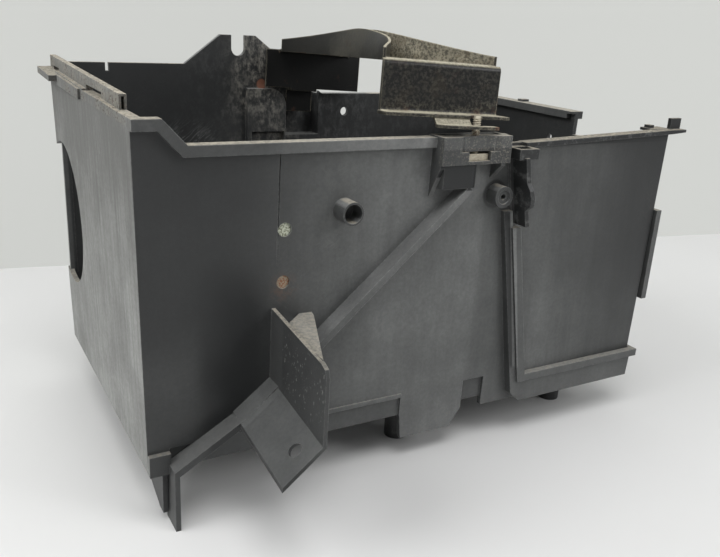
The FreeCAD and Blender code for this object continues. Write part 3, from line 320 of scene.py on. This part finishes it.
def left_wall_film(t, patch):
    """A bleached wall with upright streaks and, near its top, a few fine dark cracks."""
    streak = t.streaks((0.03, 0, 0), (300, 420, 9))
    fine = t.streaks((-0.05, 0, 0), (700, 1300, 16), 3.0, 0.6)
    low = t.step(t.pz, 0.19, 0.04, 0.0, 0.36)
    crack = t.scratches((0.06, 0, 0), (1, 420, 5), 0.012, 1.3)
    crack = t.times(crack, t.step(patch, 0.5, 0.62), t.step(t.pz, 0.1, 0.17), 0.3)
    film = t.plus(0.06, low, t.step(streak, 0.3, 0.7, 0.3, 0.5), t.step(fine, 0.3, 0.7, -0.06, 0.1))
    return t.math("SUBTRACT", film, crack)


def socket_mask(t, low, soft_low, front_y, soft_across):
    """The front of the bolt's socket, from a height upward."""
    across = t.band(t.px, SOCKET_LEFT, SOCKET_RIGHT, soft_across)
    return t.times(across, t.below(t.py, front_y, 0.00025), t.above(t.pz, low, soft_low))


def front_wall_shade(t):
    """The share of film that is left: a painted shadow next to the bracket, less film on each boss with a
    painted shadow round the tube, and painted shade under the socket and on its front.
    """
    # painted shadow of the bracket on the low wall next to it
    painted_bracket_shadow = t.times(t.band(t.px, -0.127, -0.101, 0.009), t.step(t.pz, 0.135, 0.115), 0.75)
    # each boss keeps less film; round the tube this is a painted shadow
    bosses_and_painted_shadow = t.plus(t.spot(SCREW_BOSS, 0.009, 0.001), t.spot(TUBE_BOSS, 0.0075, 0.002))
    # painted shade under the socket
    painted_throat_shade = t.times(t.band(t.px, -0.0105, 0.0155, 0.0005), t.band(t.pz, 0.1583, 0.1718, 0.0005),
                     t.below(t.py, -0.0335, 0.0005))
    # painted shade on the socket's scooped front
    socket = socket_mask(t, 0.1716, 0.0003, -0.03325, 0.0005)
    return t.times(t.without(painted_bracket_shadow), t.dimmed(bosses_and_painted_shadow, 0.35), t.dimmed(painted_throat_shade, 0.0), t.dimmed(socket, 0.3))


def front_wall_film_and_painted_reflection(t, front):
    """A wall under grey film and a painted reflection, dark at its left and greyer to the right, with the
    panel's guide.
    """
    # painted reflection: the film grows from the dark left to the middle of the wall and falls again at the
    # right
    film = t.plus(0.042, t.step(t.px, -0.12, -0.015, 0.0, 0.34), t.step(t.px, 0.022, 0.036, 0.0, -0.14))
    low_left = t.times(t.below(t.px, -0.131, 0.005), t.step(t.pz, 0.11, 0.07), 0.06)
    smear = t.streaks((0, 0.04, 0), (150, 150, 12))
    film = t.times(t.plus(film, low_left), t.step(smear, 0.25, 0.75, 0.9, 1.1), front_wall_shade(t))
    rim = t.times(t.above(t.pz, RIM_Z, 0.0004), t.below(t.py, RIM_Y, 0.0003))
    film = t.plus(film, t.times(rim, 0.12))
    # the guide leans: painted shade darkens its front and a painted highlight lightens the lip next to it
    across = t.math("MULTIPLY_ADD", t.pz, GUIDE_LEAN, t.math("SUBTRACT", t.px, GUIDE_X))
    guide = t.times(t.below(t.py, -0.0289, 0.0003), t.band(t.pz, GUIDE_LOW, GUIDE_HIGH, 0.002))
    guide_front_painted_shade = t.times(front, guide, t.band(across, 0.0008, 0.0051, 0.0003), 0.85)
    guide_lip_painted_highlight = t.times(guide, t.band(across, 0.0054, 0.0082, 0.0004), 0.3)
    return t.plus(t.times(film, t.without(guide_front_painted_shade)), guide_lip_painted_highlight)


def back_wall_splash(t, patch, indoors):
    """Pale splashes round the tower and the rear pad."""
    tower = t.times(t.band(t.px, -0.046, -0.005, 0.01), t.step(t.pz, 0.17, 0.195))
    pad = t.times(t.band(t.px, -0.036, 0.055, 0.012), t.step(t.pz, 0.13, 0.155), 0.45)
    wide = t.times(t.band(t.px, -0.08, 0.16, 0.02), 0.2)
    run = t.streaks((0, 0.05, 0), (230, 230, 150), 6.0, 0.8)
    return t.times(t.plus(tower, pad, wide), t.step(run, 0.42, 0.66), t.step(patch, 0.3, 0.65), indoors)


def inside_film(t, splash, indoors):
    """Dark walls with splashes, one scraped spot and a pale band on the right end."""
    scrape = t.times(t.scratches((0, 0.75, 0), (60, 60, 500), 0.03, 5.3), t.spot(SCRAPED_SPOT, 0.02, 0.01))
    end_band = t.times(t.above(t.px, RIGHT_END_X, 0.00075), t.leftward(), t.above(t.pz, 0.18, 0.0005))
    return t.plus(t.step(indoors, 0.0, 1.0, 0.12, 0.045), t.times(splash, 0.36), t.times(end_band, 0.12),
                  t.times(scrape, indoors, 0.3))


def tray_marks(t, colour, front, patch, fleck, rail, bracket):
    """Dirt on the rail, chips on the bracket, grit on the socket, and the coloured marks."""
    dirt = t.times(rail, t.step(t.noise(700, 3.0), 0.56, 0.62), t.step(patch, 0.42, 0.56))
    colour = t.mix(dirt, colour, DIRT_BROWN)
    chip = t.step(t.streaks((0, 0, 0), (800, 800, 330), 3.0, 0.6), 0.63, 0.68)
    chip = t.times(bracket, chip, t.band(t.pz, 0.068, 0.098, 0.006), t.leftward(), 0.55)
    colour = t.mix(chip, colour, CHIP_GREY)
    grit = t.times(socket_mask(t, 0.17175, 0.00025, -0.03425, 0.0008),
                   t.step(t.noise(1000, 3.0, 0.7), 0.5, 0.64), t.step(patch, 0.35, 0.6), 0.4)
    colour = t.mix(grit, colour, GRIT_TAN)
    chalk = t.step(t.noise(1300, 3.0), 0.42, 0.52)
    discs = ((HIGH_DISC, 0.00345, CHALK_GREEN, CHALK_WHITE), (LOW_DISC, 0.0034, DISC_RUST, CHALK_TAN))
    for place, radius, ground, powder in discs:
        disc = t.times(t.spot(place, radius, 0.0002), t.looks_against(t.ny))
        colour = t.mix(disc, colour, t.mix(chalk, ground, powder))
    halo = t.times(t.spot(LOW_DISC_HALO, 0.006, 0.004), front, t.step(fleck, 0.4, 0.6), 0.3)
    colour = t.mix(halo, colour, HALO_RUST)
    colour = t.mix(t.times(t.spot(SLIT_MARK, 0.0016, 0.0009), 0.7), colour, TEAL)
    return t.mix(t.times(t.spot(TOWER_MARK, 0.0034, 0.0006), 0.8), colour, TOWER_RUST)


def tray_plastic():
    t = Tree("tray_plastic")
    fleck = t.noise(430, 4.0, 0.7)
    patch = t.noise(38, 5.0, 0.7)
    # which part of the tray a point is on
    left = t.times(t.looks_against(t.nx), t.below(t.px, LEFT_WALL_X, 0.00075))
    front = t.times(t.looks_against(t.ny), t.below(t.py, FRONT_WALL_Y, 0.0005))
    inside = t.times(t.above(t.py, INSIDE_Y, 0.0005), t.above(t.px, INSIDE_X, 0.0005),
                     t.below(t.nz, 0.65, 0.15))
    rest = t.without(t.clamp(t.plus(left, front, inside)))
    slope = t.above(t.nz, 0.6, 0.1)
    indoors = t.below(t.ny, 0.45, 0.15)
    bracket = t.times(t.band(t.px, BRACKET_LEFT, BRACKET_RIGHT, 0.001), t.below(t.py, BRACKET_Y, 0.001))
    rail = t.times(t.above(t.pz, RAIL_Z, 0.001), t.below(t.px, RAIL_X, 0.001), t.above(t.py, RAIL_Y, 0.0005))
    fin = t.times(rail, t.band(t.px, FIN_LEFT, FIN_RIGHT, 0.0003), t.above(t.pz, FIN_Z, 0.00035))
    # grey film, with painted reflection, shade and highlight on the front wall
    splash = back_wall_splash(t, patch, indoors)
    sloped = t.times(slope, t.step(t.px, -0.095, -0.085, 0.1, 0.32))
    other_film = t.plus(sloped, t.step(bracket, 0.0, 1.0, 0.15, 0.1))
    film = t.plus(t.times(left, left_wall_film(t, patch)), t.times(front, front_wall_film_and_painted_reflection(t, front)),
                  t.times(inside, inside_film(t, splash, indoors)), t.times(rest, other_film))
    # tan dust
    rear_tops = t.times(t.band(t.px, -0.05, 0.06, 0.003), t.above(t.py, 0.105, 0.005))
    tops = t.times(t.upward(), t.crumbs(fleck), t.step(t.pz, 0.03, 0.16, 0.3, 0.8), t.dimmed(rear_tops, 0.12))
    worn = t.streaks((0, 0, 0), (900, 260, 520), 4.0, 0.7)
    fin_dust = t.times(fin, t.step(worn, 0.32, 0.68, 0.0, 0.2))
    rail_dust = t.times(rail, t.step(patch, 0.4, 0.7), 0.15)
    tower_dust = t.times(splash, inside, t.band(t.px, -0.05, 0.0, 0.01), 0.4)
    tan = t.plus(tops, t.times(left, 0.05), fin_dust, rail_dust, tower_dust)
    colour, rough = plastic_surface(t, film, tan)
    return t.finish(tray_marks(t, colour, front, patch, fleck, rail, bracket), rough)


def panel_plastic():
    """The tray's plastic with its own film and a painted reflection: greyer at the left and low down, dark on
    the grip.
    """
    t = Tree("panel_plastic")
    fleck = t.noise(430, 4.0, 0.7)
    rim = t.step(t.pz, 0.1775, 0.1782)
    grip = t.below(t.py, -0.0296, 0.0004)
    smear = t.streaks((0, 0.04, 0), (130, 130, 14))
    # painted reflection of the floor makes the film greyer low down, and a painted sheen falls off towards
    # the right
    film = t.plus(t.step(t.pz, 0.12, 0.05, 0.0, 0.09), t.step(t.px, 0.055, 0.16, 0.25, 0.03))
    film = t.times(film, t.step(smear, 0.25, 0.75, 0.82, 1.18), t.dimmed(rim, 0.3), t.dimmed(grip, 0.08))
    scuff = t.times(grip, t.step(t.noise(160, 4.0, 0.7), 0.5, 0.65), 0.22)
    tan = t.times(t.upward(), t.crumbs(fleck), 0.75)
    return t.finish(*plastic_surface(t, t.plus(film, scuff), tan))


def clamp_paint():
    """Black paint on pressed steel: glossy where it is clean, speckled with tan dust and rust."""
    t = Tree("clamp_paint")
    normal, edge = t.rounded(0.0011)
    grit = t.noise(620, 3.0, 0.7)
    patch = t.noise(42, 5.0, 0.7)
    pits = t.cells(230)
    # which part of the clamp a point is on
    up = t.above(t.nz, 0.7, 0.2)
    near_leg = t.times(t.below(t.py, -0.015, 0.001), t.below(t.ny, -0.65, 0.15))
    leftward = t.below(t.nx, -0.35, 0.15)
    right_flange = t.times(leftward, t.step(t.px, 0.0, 0.008))
    left_flange = t.times(leftward, t.below(t.px, 0.002, 0.002))
    low = t.step(t.pz, 0.205, 0.193)
    # dust
    leg_dust = t.times(near_leg, t.step(grit, 0.42, 0.64, 0.0, 0.12), t.step(patch, 0.3, 0.7, 0.5, 1.2),
                       t.plus(0.7, t.times(low, 1.4)), t.step(pits, 0.16, 0.3, 0.25, 1.0))
    right_dust = t.times(right_flange, t.step(grit, 0.38, 0.6, 0.2, 0.68),
                         t.step(patch, 0.35, 0.65, 0.6, 1.2))
    cloud = t.step(t.noise(20, 4.0), 0.42, 0.62, 0.02, 0.13)
    left_dust = t.times(left_flange, cloud, t.step(grit, 0.35, 0.6, 0.7, 1.1))
    up_dust = t.times(up, t.step(grit, 0.3, 0.6, 0.62, 1.15))
    edge_dust = t.times(edge, t.step(patch, 0.35, 0.6, 0.2, 0.6))
    dust = t.clamp(t.plus(leg_dust, right_dust, left_dust, up_dust, edge_dust, 0.01))
    colour = t.mix(dust, PAINT_BLACK, PAINT_DUST)
    # brown stains and rust
    stained = t.plus(t.times(right_flange, 0.4), t.times(near_leg, 0.12), t.times(up, 0.35))
    brown = t.times(t.step(t.noise(85, 4.0, 0.7), 0.5, 0.64), stained)
    colour = t.mix(t.clamp(brown), colour, PAINT_BROWN)
    rusty = t.plus(0.04, t.times(edge, 0.8), t.times(low, 0.15))
    rust = t.times(t.step(t.noise(60, 5.0, 0.75), 0.58, 0.66), rusty)
    colour = t.mix(t.clamp(rust), colour, PAINT_RUST)
    t.bump(t.plus(patch, t.times(grit, 0.5)), 0.3, 0.0005, normal)
    return t.finish(colour, t.step(t.plus(dust, rust), 0.0, 0.35, 0.3, 0.8), specular=0.3)


def bolt_steel():
    """Dull zinc, with brown rust mostly where the bolt goes into the socket."""
    t = Tree("bolt_steel")
    normal, _ = t.rounded(0.0004)
    rust = t.times(t.step(t.noise(420, 5.0, 0.7), 0.42, 0.6), t.step(t.pz, 0.1885, 0.191, 1.0, 0.25),
                   t.step(t.pz, 0.177, 0.179, 0.3, 1.0))
    t.bump(t.noise(1200, 3.0), 0.3, 0.0003, normal)
    return t.finish(t.mix(rust, ZINC, ZINC_RUST), t.step(rust, 0.0, 1.0, 0.38, 0.8), metallic=0.5)


def dress(name, mat):
    """Gives a CAD node its material."""
    obj = nodes[name]
    obj.data.materials.clear()
    obj.data.materials.append(mat)


def link_mesh(name, mesh, mat):
    obj = bpy.data.objects.new(name, mesh)
    scene.collection.objects.link(obj)
    mesh.materials.append(mat)
    return obj


def skinned(name, rows, mat):
    """A closed piece that rides on the tray, from rings of points that are joined and capped."""
    bm = bmesh.new()
    rings = [[bm.verts.new(point) for point in row] for row in rows]
    count = len(rings[0])
    for here, there in zip(rings, rings[1:]):
        for index in range(count):
            other = (index + 1) % count
            bm.faces.new((here[index], here[other], there[other], there[index]))
    bm.faces.new(rings[-1])
    bm.faces.new(tuple(reversed(rings[0])))
    bmesh.ops.recalc_face_normals(bm, faces=bm.faces)
    mesh = bpy.data.meshes.new(name)
    bm.to_mesh(mesh)
    bm.free()
    obj = link_mesh(name, mesh, mat)
    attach(obj, "tray")
    return obj


# Bolt: a threaded end that stands up from the plate in the slot, in metres
BOLT_AROUND = 24
BOLT_HEAD_HIGH = 0.0024
THREAD_PITCH = 0.00115
THREAD_CREST = 0.0022
THREAD_ROOT = 0.00172
THREAD_START = 0.0003
THREAD_STEPS = 8
THREAD_FLANK = 2.6
THREAD_FLAT = 1.25
THREAD_FADE = 10
TIP_SHARE = 0.8
END_SHARE = 0.85


def bolt_ring(axis, level, radii):
    """One ring of the bolt, from the radii round it."""
    ring = []
    for index, radius in enumerate(radii):
        angle = 2 * math.pi * index / BOLT_AROUND
        ring.append((axis[0] + radius * math.cos(angle), axis[1] + radius * math.sin(angle), level))
    return ring


def thread_radius(level, share, fade):
    """Radius of the thread at a height and at a share of a turn."""
    phase = (level / THREAD_PITCH - share) % 1.0
    ridge = max(0.0, 1.0 - abs(phase - 0.5) * THREAD_FLANK)
    return THREAD_ROOT + (THREAD_CREST - THREAD_ROOT) * fade * min(1.0, ridge * THREAD_FLAT)


def threaded_bolt(name, low, high, mat):
    """The bolt with its thread and without the head of the source, which the photo doesn't show."""
    axis = ((low[0] + high[0]) / 2, (low[1] + high[1]) / 2)
    bottom = low[2]
    top = high[2] - BOLT_HEAD_HIGH
    rise = THREAD_PITCH / THREAD_STEPS
    steps = int((top - bottom - 2 * THREAD_START) / rise)
    rows = [bolt_ring(axis, bottom, [THREAD_ROOT * TIP_SHARE] * BOLT_AROUND)]
    for step in range(steps + 1):
        level = bottom + THREAD_START + step * rise
        fade = min(1.0, (step + 1) / THREAD_FADE, (steps - step + 3) / THREAD_FADE)
        radii = [thread_radius(level, index / BOLT_AROUND, fade) for index in range(BOLT_AROUND)]
        rows.append(bolt_ring(axis, level, radii))
    rows.append(bolt_ring(axis, top, [THREAD_ROOT * END_SHARE] * BOLT_AROUND))
    bolt = skinned(name, rows, mat)
    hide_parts("hold_down_bolt")


# Socket's face: the skin between the scooped face and the bolt behind it, in metres
SCOOP_R = 0.026
SCOOP_Y = -0.0343
FACE_LEFT = 0.0029
FACE_RIGHT = 0.0229
FACE_LOW = 0.1783
FACE_HIGH = 0.1861
FACE_OFF = 0.0001
FACE_THICK = 0.0007
FACE_STEPS = 20


def socket_face(name, mat):
    """A thin skin that follows the scoop's curve and is thickest in front of the bolt."""
    middle = (FACE_LEFT + FACE_RIGHT) / 2
    rows = []
    for index in range(FACE_STEPS + 1):
        x = FACE_LEFT + (FACE_RIGHT - FACE_LEFT) * index / FACE_STEPS
        share = 2 * index / FACE_STEPS - 1
        back = SCOOP_Y - SCOOP_R + math.sqrt(SCOOP_R ** 2 - (x - middle) ** 2) - FACE_OFF
        front = back - FACE_OFF - FACE_THICK * (1 - share ** 2)
        corners = ((front, FACE_LOW), (front, FACE_HIGH), (back, FACE_HIGH), (back, FACE_LOW))
        rows.append([(x, y, z) for y, z in corners])
    skinned(name, rows, mat)


# Tower's foot: the stretch of back wall above the rear pad, in metres
WALL_LEAN = math.tan(math.radians(1.1))
WALL_LEVEL = 0.19
WALL_IN_Y = 0.1571
WALL_THICK = 0.0028
FOOT_LEFT = -0.0206
FOOT_RIGHT = -0.0064
FOOT_LOW = 0.1825
SLOPE_TOP = (-0.0298, 0.2228)
SLOPE_END = (0.0210, 0.1853)


def tower_foot(name, mat):
    """Wall under the tower's slope, with the lean of the back wall."""
    rows = []
    for x in (FOOT_LEFT, (FOOT_LEFT + FOOT_RIGHT) / 2, FOOT_RIGHT):
        share = (x - SLOPE_TOP[0]) / (SLOPE_END[0] - SLOPE_TOP[0])
        top = SLOPE_TOP[1] + (SLOPE_END[1] - SLOPE_TOP[1]) * share
        corners = ((FOOT_LOW, 0), (top, 0), (top, WALL_THICK), (FOOT_LOW, WALL_THICK))
        rows.append([(x, WALL_IN_Y + (z - WALL_LEVEL) * WALL_LEAN + out, z) for z, out in corners])
    skinned(name, rows, mat)


# Stage, in metres
FLOOR_HALF = 5
FLOOR_COLOUR = (0.70, 0.70, 0.695)
FLOOR_OWN_LIGHT = 0.01
BACKDROP_LEFT = Vector((-0.1154, 0.3891, 0.0))
BACKDROP_RIGHT = Vector((0.5375, 0.2704, 0.0))
BACKDROP_HALF = 4
BACKDROP_HIGH = Vector((0, 0, 3))
BACKDROP_COLOUR = (0.66, 0.67, 0.645)
BACKDROP_OWN_LIGHT = 0.7
SKY_COLOUR = (0.97, 0.985, 1.0)
SKY_LIGHT = 0.27
SKY_SEEN = 0.36
LAMPS = (
    ("lamp_left", (-1.4, 0.1, 1.3), (0, 0.05, 0.1), 1.0, 15),
    ("lamp_top", (-0.2, -0.6, 1.85), (0, 0, 0), 1.2, 18),
    ("lamp_right", (1.25, -1.25, 1.0), (0, 0, 0.1), 0.9, 12),
)


def stage_plane(name, corners, colour, own_light, one_sided=False):
    """A pale surface that takes shadows, with a share of plain colour for the camera and reflections."""
    mesh = bpy.data.meshes.new(name)
    mesh.from_pydata(corners, [], [range(len(corners))])
    t = Tree(name)
    t.bsdf.inputs["Base Color"].default_value = (*colour, 1.0)
    t.bsdf.inputs["Roughness"].default_value = 0.8
    t.bsdf.inputs["Specular IOR Level"].default_value = 0.2
    glow = t.new("ShaderNodeEmission")
    glow.inputs["Color"].default_value = (*colour, 1.0)
    path = t.new("ShaderNodeLightPath").outputs
    seen = t.math("MAXIMUM", t.math("MAXIMUM", path["Is Camera Ray"], path["Is Glossy Ray"]),
                  path["Is Transmission Ray"])
    surface = t.mix_shaders(t.times(seen, own_light), t.bsdf.outputs[0], glow.outputs[0])
    if one_sided:
        clear = t.new("ShaderNodeBsdfTransparent")
        surface = t.mix_shaders(t.geometry["Backfacing"], surface, clear.outputs[0])
    t.put(t.nt.nodes["Material Output"].inputs["Surface"], surface)
    link_mesh(name, mesh, t.mat)


def set_sky():
    """Soft light from all round, and a pale backdrop for the camera where no stage is."""
    world = bpy.data.worlds.new("world")
    world.use_nodes = True
    tree = world.node_tree
    background = tree.nodes["Background"]
    background.inputs["Color"].default_value = (*SKY_COLOUR, 1.0)
    path = tree.nodes.new("ShaderNodeLightPath")
    strength = tree.nodes.new("ShaderNodeMath")
    strength.operation = "MULTIPLY_ADD"
    tree.links.new(path.outputs["Is Camera Ray"], strength.inputs[0])
    strength.inputs[1].default_value = SKY_SEEN
    strength.inputs[2].default_value = SKY_LIGHT
    tree.links.new(strength.outputs[0], background.inputs["Strength"])
    scene.world = world


def lamp(name, place, aim, size, power):
    data = bpy.data.lights.new(name, "AREA")
    data.shape = "DISK"
    data.size = size
    data.energy = power
    obj = bpy.data.objects.new(name, data)
    obj.location = place
    obj.rotation_mode = "QUATERNION"
    obj.rotation_quaternion = (Vector(aim) - Vector(place)).to_track_quat("-Z", "Y")
    scene.collection.objects.link(obj)


place_camera()

# Materials of the CAD nodes
steel = bolt_steel()
plastic = tray_plastic()
dress("tray_body", plastic)
dress("front_panel", panel_plastic())
dress("hold_down_clamp", clamp_paint())
dress("hold_down_bolt", steel)
dress("captive_nut", steel)

# Pieces of the scene
bolt_low, bolt_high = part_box("hold_down_bolt")
threaded_bolt("bolt_threaded", bolt_low, bolt_high, steel)
socket_face("socket_face", plastic)
tower_foot("tower_foot", plastic)

# Floor, backdrop and light
floor = [(-FLOOR_HALF, -FLOOR_HALF, 0), (FLOOR_HALF, -FLOOR_HALF, 0),
         (FLOOR_HALF, FLOOR_HALF, 0), (-FLOOR_HALF, FLOOR_HALF, 0)]
along = (BACKDROP_RIGHT - BACKDROP_LEFT).normalized() * BACKDROP_HALF
left_end = BACKDROP_LEFT - along
right_end = BACKDROP_LEFT + along
backdrop = [left_end, right_end, right_end + BACKDROP_HIGH, left_end + BACKDROP_HIGH]
stage_plane("floor", floor, FLOOR_COLOUR, FLOOR_OWN_LIGHT)
stage_plane("backdrop", backdrop, BACKDROP_COLOUR, BACKDROP_OWN_LIGHT, one_sided=True)
set_sky()
for name, place, aim, size, power in LAMPS:
    lamp(name, place, aim, size, power)
